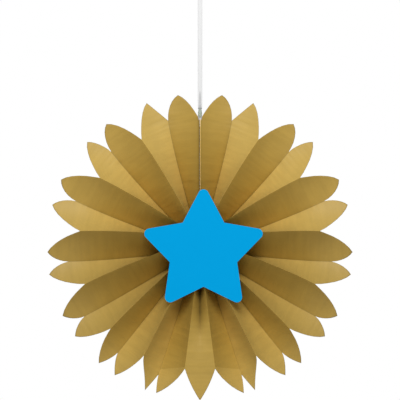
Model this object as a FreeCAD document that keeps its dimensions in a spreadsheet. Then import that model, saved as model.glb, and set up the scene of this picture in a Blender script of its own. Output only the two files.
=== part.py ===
import FreeCAD, Part
import Sketcher
import math
import os

# Paper fan medallion: a pleated sheet opened into a full rosette, tied at its waist,
# with a card star on foam pads in front and a ribbon to hang it by.
# Frame: +X to the viewer's right, +Y away from the viewer, +Z up, in millimetres.
# The origin is the centre of the rosette, half way through its depth.

V = FreeCAD.Vector

# How far each pleat panel opens in front view, in degrees, from the top seam down one side.
PANEL_OPENINGS = [14.1, 14.4, 14.5, 12.3, 14.5, 12.6, 14.0, 11.4, 13.3, 11.2, 9.9, 10.4, 9.4, 10.9]

SIZES = [
    ("panel_width", 45.0, "from one fold to the next"),
    ("sheet_thickness", 0.25, "folded paper"),
    ("fold_nose", 0.15, "how far a fold stands out of its own line"),
    ("mountain_notch", 161.5, "radius where the cut edges meet on a front fold"),
    ("valley_notch", 176.5, "radius where the cut edges meet on a back fold"),
    ("seam_notch", 168.5, "radius where the cut edges meet at the top seam"),
    ("tip_radius", 205.5, "radius of a petal's point"),
    ("tip_share", 0.66, "how far across the panel its point stands, from the front fold"),
    ("last_tip_radius", 204.0, "radius of the point of the lapped petal at the bottom"),
    ("lap_half_angle", 7.1, "half the opening of the lapped petal"),
    ("lap_trough", 30.0, "how far the lapped petal bows back at the waist"),
    ("lap_flat_from", 125.0, "radius from which the lapped petal lies flat"),
    ("front_lean", 15.5, "how far the front folds aim above the centre"),
    ("back_lean", 6.0, "how far the back folds aim below the centre"),
    ("lean_full_to", 105.0, "direction down to which the pleats lean in full"),
    ("lean_ends_at", 160.0, "direction at which the lean has died out"),
    ("fold_bow", 1.8, "how far a fold bows out of its straight line"),
    ("waist_half_length", 3.0, "half the length of the tied waist"),
    ("waist_pitch", 0.6, "from one pressed layer to the next"),
    ("waist_rise", 4.7, "height of the middle of the waist above the centre"),
    ("waist_zone", 34.0, "radius at which the pleats have left the waist's form"),
    ("glue_flange", 4.8, "margin that is turned back and glued at the top seam"),
    ("tape_thickness", 0.3, "double-sided tape in the top seam"),
    ("tape_clearance", 0.05, "between the tape and each flange"),
    ("tape_length", 110.0, "tape in the top seam"),
    ("tie_width", 1.8, "flat thread wound round the waist"),
    ("tie_thickness", 0.8, "flat thread wound round the waist"),
    ("tie_clearance", 0.2, "between the thread and the pressed layers"),
    ("tie_window", 5.0, "opening above the lapped petal that lets the thread through"),
    ("star_outer", 89.5, "star's centre to a point, before rounding"),
    ("star_inner", 46.6, "star's centre to an inner corner"),
    ("star_round", 7.0, "rounding of the points"),
    ("star_card", 1.2, "thickness of the card"),
    ("star_right", 4.6, "star's centre right of the fan's centre"),
    ("star_drop", 5.0, "star's centre below the fan's centre"),
    ("pad_length", 18.0, "foam pad, along X"),
    ("pad_height", 12.0, "foam pad, along Z"),
    ("pad_thickness", 1.6, "foam pad, between the folds and the star"),
    ("pad_gap", 12.0, "between the two foam pads"),
    ("pad_rise", 8.0, "lower edge of the foam pads above the centre"),
    ("pad_press", 0.15, "how far the foam reaches past the front of the fully closed pleats"),
    ("ribbon_width", 5.8, "satin ribbon, doubled"),
    ("ribbon_thickness", 0.8, "both layers of the doubled ribbon"),
    ("ribbon_top", 334.0, "height at which the ribbon is knotted into its loop"),
    ("knot_width", 5.6, "lower knot, across"),
    ("knot_depth", 4.4, "lower knot, front to back"),
    ("knot_height", 11.0, "lower knot, along the ribbon"),
    ("knot_rise", 3.0, "lower knot above the seam notch"),
    ("knot_neck", 0.55, "share of a knot's width that its ends keep"),
    ("eye_hole", 2.4, "hole through the seam flanges"),
    ("eye_drop", 6.5, "hole below the seam notch"),
    ("eye_inset", 1.9, "hole behind the seam fold"),
    ("eye_cord", 0.5, "half the width of the gathered ribbon in the hole"),
    ("eye_gap", 0.5, "gathered ribbon off the seam's flanges"),
    ("loop_width", 16.0, "hanging loop at the top, across"),
    ("loop_height", 26.0, "hanging loop at the top"),
    ("loop_knot", 7.0, "knot under the hanging loop"),
]

doc = FreeCAD.newDocument("paper_fan_medallion")
sheet = doc.addObject("Spreadsheet::Sheet", "sizes")
rows = SIZES + [
    (f"opening_{count:02d}", angle, "degrees that this panel opens")
    for count, angle in enumerate(PANEL_OPENINGS, 1)
]
for row, (alias, number, meaning) in enumerate(rows, 1):
    sheet.set(f"A{row}", meaning)
    sheet.set(f"B{row}", str(number))
    sheet.setAlias(f"B{row}", alias)
doc.recompute()


def size(alias):
    return float(sheet.get(alias))


# Fold directions

panel_count = len(PANEL_OPENINGS)
openings = [size(f"opening_{count:02d}") for count in range(1, panel_count + 1)]
side_angle = 180.0 - size("lap_half_angle")
directions = [side_angle * sum(openings[:count]) / sum(openings) for count in range(panel_count + 1)]

width = size("panel_width")
sheet_thickness = size("sheet_thickness")
middle_y = (size("pad_thickness") + size("star_card")) / 2
waist_tilt = math.asin((size("front_lean") + size("back_lean")) / width)
into_depth = V(0, math.cos(waist_tilt), -math.sin(waist_tilt))
up_stack = V(0, math.sin(waist_tilt), math.cos(waist_tilt))
seam_half = size("tape_thickness") / 2 + size("tape_clearance") + sheet_thickness / 2


def is_front(fold):
    return fold % 2 == 0


def notch_of(fold):
    if fold == 0:
        return size("seam_notch")
    return size("mountain_notch") if is_front(fold) else size("valley_notch")


def waist_share(run):
    """1 at the waist, falling to 0 where the pleats have left its form."""
    return max(1 - run / size("waist_zone"), 0) ** 2


def sideways_shift(fold, run):
    """How far a fold stands towards the top from its radial line. The seam fold is straight."""
    direction = directions[fold]
    lean_left = (size("lean_ends_at") - direction) / (size("lean_ends_at") - size("lean_full_to"))
    lean_share = min(max(lean_left, 0), 1) if fold > 0 else 0
    along = min(run / notch_of(fold), 1)
    bow = size("fold_bow") * 6.75 * along**2 * (1 - along)
    if is_front(fold):
        straight = size("front_lean") * math.sin(math.radians(direction)) * (1 - along)
        return lean_share * (straight + bow)
    straight = size("back_lean") * math.sin(math.radians(direction)) * (1 - along)
    return -lean_share * (straight + bow)


def half_depth(fold, run):
    """Half the depth of the pleats at a fold: what a panel's width leaves beside its opening."""
    beside = openings[max(fold - 1, 0):fold + 1]
    opening = math.radians(sum(beside) / len(beside) * side_angle / sum(openings))
    reach = min(run, size("mountain_notch"))
    chord = 2 * reach * math.sin(opening / 2)
    depth = width / 2 * math.sqrt(max(1 - (chord / width) ** 2, 0.04))
    depth -= width / 2 * (1 - math.cos(waist_tilt)) * waist_share(run)
    return depth * (1 - (run - reach) / size("tip_radius"))


def waist_point(fold):
    side = -1 if is_front(fold) else 1
    layer = panel_count / 2 - fold
    middle = V(-size("waist_half_length"), middle_y, size("waist_rise"))
    return middle + into_depth * (side * width / 2) + up_stack * (layer * size("waist_pitch"))


def free_point(fold, run):
    """Where a fold of the left half would run if the waist weren't tied."""
    angle = math.radians(directions[fold])
    outward = V(-math.sin(angle), 0, math.cos(angle))
    to_top = V(math.cos(angle), 0, math.sin(angle))
    side = -1 if is_front(fold) else 1
    beside_seam = seam_half if fold == 0 else 0
    point = outward * run + to_top * sideways_shift(fold, run)
    return point + V(-beside_seam, middle_y + side * half_depth(fold, run), 0)


def fold_point(fold, run):
    """A point on a fold of the left half, at a distance from the hub."""
    drawn_in = waist_point(fold) - free_point(fold, 0)
    return free_point(fold, run) + drawn_in * waist_share(run)


# The lapped petal's columns, from its fold to its middle: place across at the waist and at the
# rim, depth at the waist, and rise of the cut's poles.
LAP_ACROSS_WAIST = (1, 1, 0.55, 0)
LAP_ACROSS_RIM = (1, 0.78, 0.36, 0)
LAP_DEPTH_WAIST = (0, 0.85, 1, 1)
LAP_CUT_RISE = (0, 0.42, 0.87, 1)


def flange_direction(run):
    """The turned-back margin at the seam runs straight back from the seam fold."""
    share = waist_share(run)
    tilted = into_depth * share + V(0, 1, 0) * (1 - share)
    tilted = tilted * width + up_stack * (share * size("waist_pitch"))
    return tilted.normalize()


def lap_direction(run):
    """The lapped petal leaves its front fold backwards at the waist and sideways at the rim."""
    share = waist_share(run)
    trough = lap_share(run)
    at_waist = into_depth * width - up_stack * size("waist_pitch")
    fold_x = free_point(panel_count, run).x
    across = -fold_x * (1 - LAP_ACROSS_RIM[1]) * (1 - trough) + sheet_thickness * trough
    further = V(across, size("lap_trough") * LAP_DEPTH_WAIST[1] * trough, 0).normalize() * width
    return (at_waist * share + further * (1 - share)).normalize()


def lap_share(run):
    """1 at the waist, falling to 0 where the lapped petal lies flat."""
    left = max(1 - run / size("lap_flat_from"), 0)
    return left * left * (3 - 2 * left)


def neighbours(fold, run):
    here = fold_point(fold, run)
    before = fold_point(fold - 1, run) if fold > 0 else here + flange_direction(run) * width
    after = fold_point(fold + 1, run) if fold < panel_count else here + lap_direction(run) * width
    return before, after


def skin_point(fold, run, front_skin):
    """A point on the sheet's front or back skin at a fold.

    Outside the fold the skin stands out by the nose. Inside it the skin lies so deep that
    each panel keeps the sheet's thickness between its two skins.
    """
    here = fold_point(fold, run)
    before, after = neighbours(fold, run)
    inward = (before + after) * 0.5 - here
    depth = inward.Length
    inward.normalize()
    half_span = (after - before).Length / 2
    nose = size("fold_nose")
    outer_depth = depth + 2 * nose
    root = math.sqrt(half_span**2 + outer_depth**2 - sheet_thickness**2)
    skin_depth = half_span * (outer_depth * half_span - sheet_thickness * root)
    skin_depth /= half_span**2 - sheet_thickness**2
    crotch = depth + nose - skin_depth
    outside = front_skin == is_front(fold)
    return here - inward * nose if outside else here + inward * crotch


def flange_edge(run, front_skin):
    """The free edge of the turned-back margin, on one of the sheet's skins."""
    here = fold_point(0, run)
    back = flange_direction(run)
    along = fold_point(0, run + 1) - here
    side = back.cross(along).normalize()
    if run == 0:
        side = up_stack
    offset = sheet_thickness / 2 * (1 if front_skin else -1)
    return here + back * size("glue_flange") + side * offset


def lap_centre(run, front_skin):
    """The middle line of the lapped petal, two sheets thick."""
    here = fold_point(panel_count, run)
    share = waist_share(run)
    back = lap_direction(run) * share + V(0, 1, 0) * (1 - share)
    side = -1 if front_skin else 1
    point = here + back * (size("lap_trough") * lap_share(run) + side * sheet_thickness)
    point += up_stack * (side * share * sheet_thickness)
    return V(0, point.y, point.z)


# The sheet's two skins: flat facets from station to station, and flat petals beyond the last one.
# The stations stand closest at the waist, where the pleats turn most.
STATION_COUNT = 14
STATION_CROWDING = 1.6
rim_run = size("mountain_notch")
station_runs = [rim_run * (count / STATION_COUNT) ** STATION_CROWDING for count in range(STATION_COUNT + 1)]

# Where the poles of a petal's cut stand, as shares of its width and of its rise.
FRONT_CUT_ACROSS = (0.33, 0.68)
FRONT_CUT_RISE = (0.36, 0.87)
BACK_CUT_ACROSS = (0.5, 0.1)
BACK_CUT_RISE = (0.86, 0.42)


def mirrored(point):
    return V(-point.x, point.y, point.z)


def facet(*corners):
    return Part.Face(Part.makePolygon([*corners, corners[0]]))


def both_facets(*corners):
    return [facet(*corners), facet(*[mirrored(corner) for corner in corners])]


def facets_between(first_line, second_line):
    """Flat triangles between two lines of points, left and right."""
    faces = []
    for near, far in zip(range(len(first_line)), range(1, len(first_line))):
        faces += both_facets(first_line[near], second_line[near], first_line[far])
        faces += both_facets(first_line[far], second_line[near], second_line[far])
    return faces


def cubic_edge(poles):
    curve = Part.BezierCurve()
    curve.setPoles(poles)
    return curve.toShape()


def outlined(corners, cuts):
    """A flat face inside the straight edges through its corners and its cubic cuts."""
    edges = [Part.LineSegment(start, end).toShape() for start, end in zip(corners, corners[1:])]
    edges += [cubic_edge(poles) for poles in cuts]
    return Part.Face(Part.Wire(Part.__sortEdges__(edges)))


def both_outlined(corners, cuts):
    other_cuts = [[mirrored(pole) for pole in poles] for poles in cuts]
    return [outlined(corners, cuts), outlined([mirrored(corner) for corner in corners], other_cuts)]


class Petal:
    """The flat end of a panel on one skin, in the plane of its two folds at the rim."""

    def __init__(self, front_fold, back_fold, front_skin):
        self.front = skin_point(front_fold, rim_run, front_skin)
        self.back = skin_point(back_fold, rim_run, front_skin)
        self.back_end = skin_point(back_fold, size("valley_notch"), front_skin)
        across = self.back - self.front
        self.back_outward = (self.back_end - self.back) * (1 / (size("valley_notch") - rim_run))
        normal = across.cross(self.back_outward).normalize()
        angle = math.radians(directions[front_fold])
        radial = V(-math.sin(angle), 0, math.cos(angle))
        self.front_outward = (radial - normal * radial.dot(normal)).normalize()
        self.near = notch_of(front_fold)
        self.notch = self.point(0, self.near)

    def point(self, share, run):
        """A point of the petal, by its share across from the front fold and its run."""
        base = self.front + (self.back - self.front) * share
        outward = self.front_outward * (1 - share) + self.back_outward * share
        return base + outward * (run - rim_run)

    def cuts(self):
        """The poles of the cut edge on the front fold's side and on the back fold's side."""
        share, top = size("tip_share"), size("tip_radius")
        near, far = self.near, size("valley_notch")
        tip = self.point(share, top)
        front_poles = [
            self.point(across * share, near + rise * (top - near))
            for across, rise in zip(FRONT_CUT_ACROSS, FRONT_CUT_RISE)
        ]
        back_poles = [
            self.point(1 - across * (1 - share), far + rise * (top - far))
            for across, rise in zip(BACK_CUT_ACROSS, BACK_CUT_RISE)
        ]
        return [[self.notch, *front_poles, tip], [tip, *back_poles, self.back_end]]

    def faces(self):
        corners = [self.back_end, self.back, self.front]
        if self.near > rim_run:
            corners.append(self.notch)
        return both_outlined(corners, self.cuts())


def lap_columns(front_skin):
    """The left half of the lapped petal: a trough at the waist that opens to a flat leaf."""
    leg_offset = sheet_thickness * (1 if front_skin else -1)
    columns = []
    for place, rim_across in enumerate(LAP_ACROSS_RIM):
        column = []
        for run in station_runs:
            trough = lap_share(run)
            across = LAP_ACROSS_WAIST[place] * trough + rim_across * (1 - trough)
            deep = LAP_DEPTH_WAIST[place] * trough + (1 - rim_across) * (1 - trough)
            fold = skin_point(panel_count, run, front_skin)
            middle = lap_centre(run, front_skin)
            leg = leg_offset * trough if place == 1 else 0
            level = fold * (1 - deep) + middle * deep
            column.append(V(fold.x * across + leg, level.y, level.z))
        columns.append(column)
    return columns


def lap_cut(columns):
    """The poles of the lapped petal's cut, below its last stations."""
    rise = size("last_tip_radius") - rim_run
    ends = [column[-1] for column in columns]
    return [end - V(0, 0, rise * share) for end, share in zip(ends, LAP_CUT_RISE)]


def waist_bands(points):
    """The pressed layers on one skin, from the left half's pleats to the right half's."""
    bands = [
        facet(first, second, mirrored(second), mirrored(first))
        for first, second in zip(points[:-2], points[1:-1])
    ]
    before, last, middle = points[-3:]
    bands[-1] = facet(before, last, middle, mirrored(last), mirrored(before))
    return bands


class Skin:
    """One skin of the whole sheet, and the edges where the other skin joins it."""

    def __init__(self, front_skin):
        folds = [
            [skin_point(fold, run, front_skin) for run in station_runs]
            for fold in range(panel_count + 1)
        ]
        self.free_edge = [flange_edge(run, front_skin) for run in station_runs]
        lap = lap_columns(front_skin)
        pairs = [
            (panel, panel + 1) if is_front(panel) else (panel + 1, panel)
            for panel in range(panel_count)
        ]
        petals = [Petal(front_fold, back_fold, front_skin) for front_fold, back_fold in pairs]
        self.faces = [face for petal in petals for face in petal.faces()]
        for front_fold, back_fold in pairs:
            self.faces += facets_between(folds[front_fold], folds[back_fold])
        self.faces += facets_between(self.free_edge, folds[0])
        for first, second in zip(lap, lap[1:]):
            self.faces += facets_between(first, second)
        self.seam_end = petals[0].notch
        self.faces += both_facets(self.free_edge[-1], folds[0][-1], self.seam_end)
        self.cuts = [cut for petal in petals for cut in petal.cuts()]
        self.cuts.append(lap_cut(lap))
        rim_corners = [column[-1] for column in lap] + [self.cuts[-1][-1]]
        self.faces += both_outlined(rim_corners, self.cuts[-1:])
        waist = [self.free_edge[0]] + [fold[0] for fold in folds] + [column[0] for column in lap[1:]]
        self.faces += waist_bands(waist)


def edge_faces(front, back):
    """The sheet's edges between its two skins."""
    faces = []
    for front_poles, back_poles in zip(front.cuts, back.cuts):
        for place in (lambda pole: pole, mirrored):
            sides = [cubic_edge([place(pole) for pole in poles]) for poles in (front_poles, back_poles)]
            faces.append(Part.makeRuledSurface(*sides))
    faces += facets_between(front.free_edge + [front.seam_end], back.free_edge + [back.seam_end])
    start_front, start_back = front.free_edge[0], back.free_edge[0]
    faces.append(facet(start_front, start_back, mirrored(start_back), mirrored(start_front)))
    return faces


def folded_sheet():
    """The whole pleated sheet: its skins, cut edges and pressed waist, sewn into one solid."""
    front, back = Skin(True), Skin(False)
    shell = Part.Shell(front.faces + back.faces + edge_faces(front, back))
    shell.sewShape()
    return Part.Solid(shell.Shells[0])


def box_across(half_x, low_y, high_y, low_z, high_z):
    return Part.makeBox(2 * half_x, high_y - low_y, high_z - low_z, V(-half_x, low_y, low_z))


def turned_to_waist(shape):
    """Lean a shape drawn about the origin with the pressed layers, and move it to the waist."""
    shape.rotate(V(0, 0, 0), V(1, 0, 0), -math.degrees(waist_tilt))
    shape.translate(V(0, middle_y, size("waist_rise")))
    return shape


stack_half = (panel_count + 1) / 2 * size("waist_pitch") + sheet_thickness
tie_inner_half = stack_half + size("tie_clearance")
hole_run = size("seam_notch") - size("eye_drop")
hole_y = fold_point(0, hole_run).y + size("eye_inset")


def tie_window():
    """Clears the lapped petal where the thread passes under the waist."""
    top = -(stack_half + size("tie_clearance") / 2)
    half_x = size("tie_width") / 2 + 2 * size("tie_clearance")
    return turned_to_waist(box_across(half_x, -width / 2, width, top - size("tie_window"), top))


def eye_hole():
    """Punched through both flanges of the seam for the ribbon."""
    reach = seam_half + sheet_thickness
    return Part.makeCylinder(size("eye_hole") / 2, 2 * reach, V(-reach, hole_y, hole_run), V(1, 0, 0))


def add_shape(name, shape):
    feature = doc.addObject("Part::Feature", name)
    feature.Label = name
    feature.Shape = shape
    return feature


def make_fan():
    solid = folded_sheet()
    if solid.Volume < 0:
        solid.reverse()
    shape = solid.cut(tie_window()).cut(eye_hole())
    return add_shape("pleated_fan", shape)


def make_seam_tape():
    """Double-sided tape between the two flanges, following the seam fold."""
    end = hole_run - size("eye_hole")
    start = end - size("tape_length")
    margin = size("glue_flange") / 6
    runs = [start + (end - start) * count / 5 for count in range(6)]
    sides = []
    for offset in (margin, size("glue_flange") - margin):
        edge = Part.BSplineCurve()
        edge.interpolate([V(0, fold_point(0, run).y + offset, run) for run in runs])
        sides.append(edge)
    front, back = sides
    edges = [
        front.toShape(),
        back.toShape(),
        Part.LineSegment(front.StartPoint, back.StartPoint).toShape(),
        Part.LineSegment(front.EndPoint, back.EndPoint).toShape(),
    ]
    strip = Part.Face(Part.Wire(Part.__sortEdges__(edges))).extrude(V(size("tape_thickness"), 0, 0))
    strip.translate(V(-size("tape_thickness") / 2, 0, 0))
    return add_shape("seam_tape", strip)


def origin_plane(body, role):
    return [plane for plane in body.Origin.OriginFeatures if plane.Role == role][0]


def new_sketch(body, role, name):
    sketch = body.newObject("Sketcher::SketchObject", name)
    sketch.AttachmentSupport = (origin_plane(body, role), [""])
    sketch.MapMode = "FlatFace"
    return sketch


def add_rectangle(sketch, half_x, half_y, name, expression_x, expression_y):
    """A rectangle centred on the sketch's origin, its two sides bound to the sheet."""
    first = sketch.GeometryCount
    corners = [V(-half_x, -half_y), V(half_x, -half_y), V(half_x, half_y), V(-half_x, half_y)]
    for count in range(4):
        sketch.addGeometry(Part.LineSegment(corners[count], corners[(count + 1) % 4]))
    for count in range(4):
        sketch.addConstraint(Sketcher.Constraint(
            "Coincident", first + count, 2, first + (count + 1) % 4, 1))
    for count, kind in enumerate(("Horizontal", "Vertical", "Horizontal", "Vertical")):
        sketch.addConstraint(Sketcher.Constraint(kind, first + count))
    sketch.addConstraint(Sketcher.Constraint("Symmetric", first, 1, first + 2, 1, -1, 1))
    along = sketch.addConstraint(Sketcher.Constraint("DistanceX", first, 1, first, 2, 2 * half_x))
    up = sketch.addConstraint(Sketcher.Constraint("DistanceY", first + 1, 1, first + 1, 2, 2 * half_y))
    sketch.renameConstraint(along, name + "_along")
    sketch.renameConstraint(up, name + "_up")
    sketch.setExpression("Constraints." + name + "_along", expression_x)
    sketch.setExpression("Constraints." + name + "_up", expression_y)


def pad_both_ways(body, sketch, name, expression):
    pad = body.newObject("PartDesign::Pad", name)
    pad.Profile = sketch
    pad.SideType = "Symmetric"
    pad.setExpression("Length", expression)
    return pad


def make_waist_tie():
    """Flat thread wound round the pressed layers, leaning with them."""
    body = doc.addObject("PartDesign::Body", "waist_tie")
    body.Label = "waist_tie"
    sketch = new_sketch(body, "YZ_Plane", "tie_section")
    around = "sizes.panel_width + 2 * sizes.fold_nose + 2 * sizes.tie_clearance"
    layers = f"{panel_count + 1} * sizes.waist_pitch"
    over = layers + " + 2 * sizes.sheet_thickness + 2 * sizes.tie_clearance"
    half_around = width / 2 + size("fold_nose") + size("tie_clearance")
    thick = size("tie_thickness")
    add_rectangle(sketch, half_around, tie_inner_half, "inner", around, over)
    add_rectangle(
        sketch, half_around + thick, tie_inner_half + thick, "outer",
        around + " + 2 * sizes.tie_thickness", over + " + 2 * sizes.tie_thickness",
    )
    pad_both_ways(body, sketch, "tie_band", "sizes.tie_width")
    body.Placement = FreeCAD.Placement(
        V(0, middle_y, size("waist_rise")),
        FreeCAD.Rotation(V(1, 0, 0), -math.degrees(waist_tilt)),
    )
    body.setExpression("Placement.Base.y", "(sizes.pad_thickness + sizes.star_card) / 2")
    body.setExpression("Placement.Base.z", "sizes.waist_rise")
    body.setExpression(
        "Placement.Rotation.Angle",
        "-asin((sizes.front_lean + sizes.back_lean) / sizes.panel_width)",
    )
    return body


STAR_POINTS = 5


def make_star():
    """Five-pointed card star with rounded points, flat to the front."""
    body = doc.addObject("PartDesign::Body", "star")
    body.Label = "star"
    sketch = new_sketch(body, "XZ_Plane", "star_outline")
    sides = 2 * STAR_POINTS
    corners = []
    for count in range(sides):
        radius = size("star_inner") if count % 2 else size("star_outer")
        angle = math.radians(90 + 360 * count / sides)
        corners.append(V(radius * math.cos(angle), radius * math.sin(angle)))
    for count in range(sides):
        sketch.addGeometry(Part.LineSegment(corners[count], corners[(count + 1) % sides]))
    for circle, alias in enumerate(("star_outer", "star_inner")):
        ring = sketch.addGeometry(Part.Circle(V(0, 0), V(0, 0, 1), size(alias)), True)
        sketch.addConstraint(Sketcher.Constraint("Coincident", ring, 3, -1, 1))
        radius = sketch.addConstraint(Sketcher.Constraint("Radius", ring, size(alias)))
        sketch.renameConstraint(radius, alias + "_radius")
        sketch.setExpression(f"Constraints.{alias}_radius", "sizes." + alias)
    for count in range(sides):
        sketch.addConstraint(Sketcher.Constraint("Coincident", count, 2, (count + 1) % sides, 1))
        sketch.addConstraint(Sketcher.Constraint("PointOnObject", count, 1, sides + count % 2))
    for count in range(1, sides):
        sketch.addConstraint(Sketcher.Constraint("Equal", 0, count))
    sketch.addConstraint(Sketcher.Constraint("PointOnObject", 0, 1, -2))
    pad = pad_both_ways(body, sketch, "star_blank", "sizes.star_card")
    doc.recompute()
    tips = []
    for count, edge in enumerate(pad.Shape.Edges, 1):
        start, end = (vertex.Point for vertex in edge.Vertexes)
        at_tip = math.hypot(start.x, start.z) > (size("star_outer") + size("star_inner")) / 2
        if at_tip and abs(start.y - end.y) > size("star_card") / 2:
            tips.append(f"Edge{count}")
    rounding = body.newObject("PartDesign::Fillet", "star_points")
    rounding.Base = (pad, tips)
    rounding.setExpression("Radius", "sizes.star_round")
    body.setExpression("Placement.Base.x", "sizes.star_right")
    body.setExpression("Placement.Base.y", "-(sizes.panel_width + sizes.pad_thickness) / 2")
    body.setExpression("Placement.Base.z", "-sizes.star_drop")
    return body


def make_pad(name, left_edge):
    """A foam pad between the front folds beside the waist and the star."""
    pad = doc.addObject("Part::Box", name)
    pad.Label = name
    pad.setExpression("Length", "sizes.pad_length")
    pad.setExpression("Width", "sizes.pad_thickness + sizes.pad_press")
    pad.setExpression("Height", "sizes.pad_height")
    pad.setExpression("Placement.Base.x", left_edge)
    pad.setExpression("Placement.Base.y", "(sizes.star_card - sizes.panel_width - sizes.pad_thickness) / 2")
    pad.setExpression("Placement.Base.z", "sizes.pad_rise")
    return pad


def make_ribbon():
    """The doubled ribbon, pulled straight, from the lower knot to the loop's knot."""
    ribbon = doc.addObject("Part::Box", "hanging_ribbon")
    ribbon.Label = "hanging_ribbon"
    ribbon.setExpression("Length", "sizes.ribbon_width")
    ribbon.setExpression("Width", "sizes.ribbon_thickness")
    ribbon.Placement.Base = V(0, hole_y - size("ribbon_thickness") / 2, 0)
    ribbon.setExpression("Placement.Base.x", "-sizes.ribbon_width / 2")
    knot_top = "sizes.seam_notch + sizes.knot_rise + sizes.knot_height"
    ribbon.setExpression("Placement.Base.z", knot_top)
    ribbon.setExpression("Height", f"sizes.ribbon_top - ({knot_top})")
    return ribbon


def in_view(x, z):
    return V(x, 0, z)


def deepened(edges, depth):
    """A shape drawn in front view, given its depth about the ribbon's plane."""
    shape = Part.Face(Part.Wire(edges)).extrude(V(0, depth, 0))
    shape.translate(V(0, hole_y - depth / 2, 0))
    return shape


def knot_body(across, front_to_back, low_z, high_z):
    """A pulled knot: bulging sides and narrower ends where the ribbon goes in."""
    neck, side = across * size("knot_neck") / 2, across / 2
    middle = (low_z + high_z) / 2
    return deepened([
        Part.LineSegment(in_view(-neck, low_z), in_view(neck, low_z)).toShape(),
        Part.Arc(in_view(neck, low_z), in_view(side, middle), in_view(neck, high_z)).toShape(),
        Part.LineSegment(in_view(neck, high_z), in_view(-neck, high_z)).toShape(),
        Part.Arc(in_view(-neck, high_z), in_view(-side, middle), in_view(-neck, low_z)).toShape(),
    ], front_to_back)


def make_ribbon_knot():
    """The gathered ribbon through the seam's hole, and the knot that closes it."""
    half_cord = size("eye_cord")
    side_x = seam_half + sheet_thickness / 2 + size("eye_gap") + half_cord
    bend_z = hole_run + side_x
    low = size("seam_notch") + size("knot_rise")
    top = low + size("knot_height") / 2
    inner, outer = side_x - half_cord, side_x + half_cord
    eye = deepened([
        Part.LineSegment(in_view(-inner, top), in_view(-outer, top)).toShape(),
        Part.LineSegment(in_view(-outer, top), in_view(-outer, bend_z)).toShape(),
        Part.Arc(in_view(-outer, bend_z), in_view(0, bend_z - outer), in_view(outer, bend_z)).toShape(),
        Part.LineSegment(in_view(outer, bend_z), in_view(outer, top)).toShape(),
        Part.LineSegment(in_view(outer, top), in_view(inner, top)).toShape(),
        Part.LineSegment(in_view(inner, top), in_view(inner, bend_z)).toShape(),
        Part.Arc(in_view(inner, bend_z), in_view(0, bend_z - inner), in_view(-inner, bend_z)).toShape(),
        Part.LineSegment(in_view(-inner, bend_z), in_view(-inner, top)).toShape(),
    ], half_cord)
    knot = knot_body(size("knot_width"), size("knot_depth"), low, low + size("knot_height"))
    return add_shape("ribbon_knot", knot.fuse(eye).removeSplitter())


def teardrop(radius, drop):
    """A circle drawn out to a point below it, in the YZ plane, its circle on the origin."""
    lean = math.asin(radius / drop)
    touch_y = radius * math.cos(lean)
    touch_z = -radius * math.sin(lean)
    return Part.Face(Part.Wire([
        Part.LineSegment(V(0, 0, -drop), V(0, touch_y, touch_z)).toShape(),
        Part.Arc(V(0, touch_y, touch_z), V(0, 0, radius), V(0, -touch_y, touch_z)).toShape(),
        Part.LineSegment(V(0, -touch_y, touch_z), V(0, 0, -drop)).toShape(),
    ]))


def make_ribbon_loop():
    """The loop to hang the fan by: the ribbon's two layers part above their knot."""
    layer = size("ribbon_thickness") / 2
    radius = size("loop_width") / 2
    drop = size("loop_height") - radius
    inner_drop = drop * (radius - layer) / radius
    band = teardrop(radius, drop).cut(teardrop(radius - layer, inner_drop))
    loop = band.extrude(V(size("ribbon_width"), 0, 0))
    low = size("ribbon_top")
    high = low + size("loop_knot")
    loop.translate(V(-size("ribbon_width") / 2, hole_y, high + drop - size("loop_knot") / 2))
    knot = knot_body(size("loop_knot"), size("knot_depth"), low, high)
    return add_shape("ribbon_loop", knot.fuse(loop).removeSplitter())


parts = [
    make_fan(),
    make_seam_tape(),
    make_waist_tie(),
    make_pad("star_pad_left", "-sizes.pad_gap / 2 - sizes.pad_length"),
    make_pad("star_pad_right", "sizes.pad_gap / 2"),
    make_star(),
    make_ribbon_knot(),
    make_ribbon(),
    make_ribbon_loop(),
]
doc.recompute()

for item in doc.Objects:
    if "Invalid" in item.State or "Error" in item.State:
        raise RuntimeError(f"{item.Name} failed: {item.State}")
for part in parts:
    if part.Shape.isNull() or not part.Shape.isValid():
        raise RuntimeError(f"{part.Label} has no valid shape")

os.makedirs("parts", exist_ok=True)
for part in parts:
    part.Shape.exportStep(f"parts/{part.Label}.step")
    box = part.Shape.BoundBox
    print(part.Label, len(part.Shape.Solids), round(part.Shape.Volume, 1), box)
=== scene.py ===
import bpy
import bmesh
import math
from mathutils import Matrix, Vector


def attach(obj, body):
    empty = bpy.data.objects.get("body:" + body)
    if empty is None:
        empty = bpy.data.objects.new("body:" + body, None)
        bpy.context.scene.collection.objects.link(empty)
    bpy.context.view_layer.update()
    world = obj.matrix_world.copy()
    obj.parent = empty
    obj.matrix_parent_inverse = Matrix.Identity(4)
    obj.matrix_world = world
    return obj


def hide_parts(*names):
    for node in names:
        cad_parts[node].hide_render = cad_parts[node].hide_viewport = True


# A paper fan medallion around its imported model, in metres: +X to the viewer's right,
# +Y away from the viewer, +Z up, the origin at the centre of the rosette.

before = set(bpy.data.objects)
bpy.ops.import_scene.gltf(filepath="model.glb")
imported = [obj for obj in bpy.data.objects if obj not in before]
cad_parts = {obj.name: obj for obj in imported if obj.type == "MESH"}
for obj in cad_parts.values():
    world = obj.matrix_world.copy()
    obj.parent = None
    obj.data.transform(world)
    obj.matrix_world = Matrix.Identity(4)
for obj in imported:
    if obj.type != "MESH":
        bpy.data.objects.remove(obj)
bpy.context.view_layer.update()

# Sizes of the folded sheet

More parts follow.
